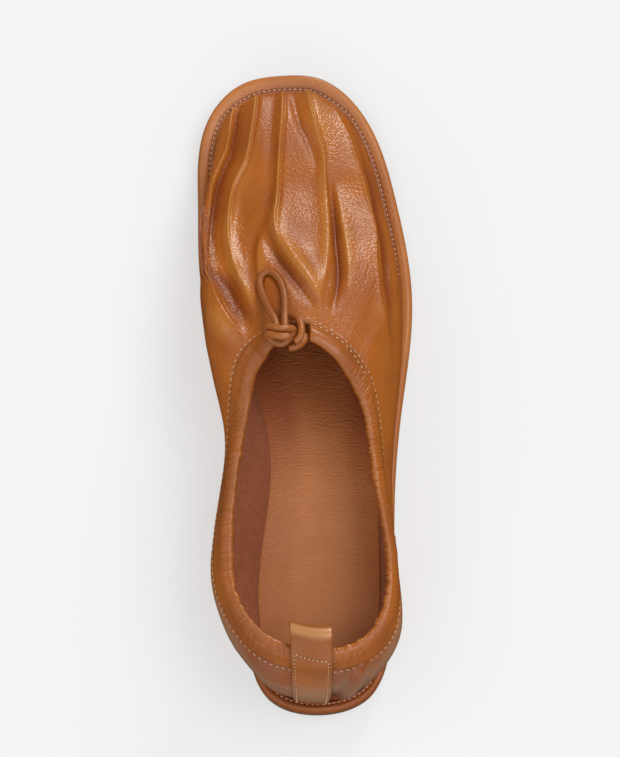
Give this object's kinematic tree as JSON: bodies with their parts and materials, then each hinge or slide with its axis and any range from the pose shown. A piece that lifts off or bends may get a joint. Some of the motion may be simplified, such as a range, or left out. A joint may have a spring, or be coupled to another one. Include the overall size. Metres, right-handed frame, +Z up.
{
  "type": "ballet flat shoe",
  "caption": "Right-foot leather ballet flat with a gathered square toe, puckered drawstring collar, heel pull tab and rolled-edge flat sole.",
  "frame": {"origin": "on the floor under the middle of the shoe's bounding box, measured without the drawstring", "axes": "+Y from heel to toe, +X to the outer (lateral) side of the foot, +Z up from the floor"},
  "size_m": [0.0852, 0.261, 0.0695],
  "materials": {
    "tan_leather": "smooth satin nappa",
    "insole_leather": "smooth satin",
    "brown_rubber": "matte"
  },
  "bodies": {
    "root": {"outsole": "brown_rubber", "platform": "tan_leather", "insole": "insole_leather", "upper": "tan_leather", "collar_casing": "tan_leather", "pull_tab": "tan_leather", "drawstring_turns": "tan_leather", "drawstring_bight": "tan_leather", "drawstring_tail": "tan_leather", "drawstring_loop": "tan_leather"}
  },
  "joints": []
}
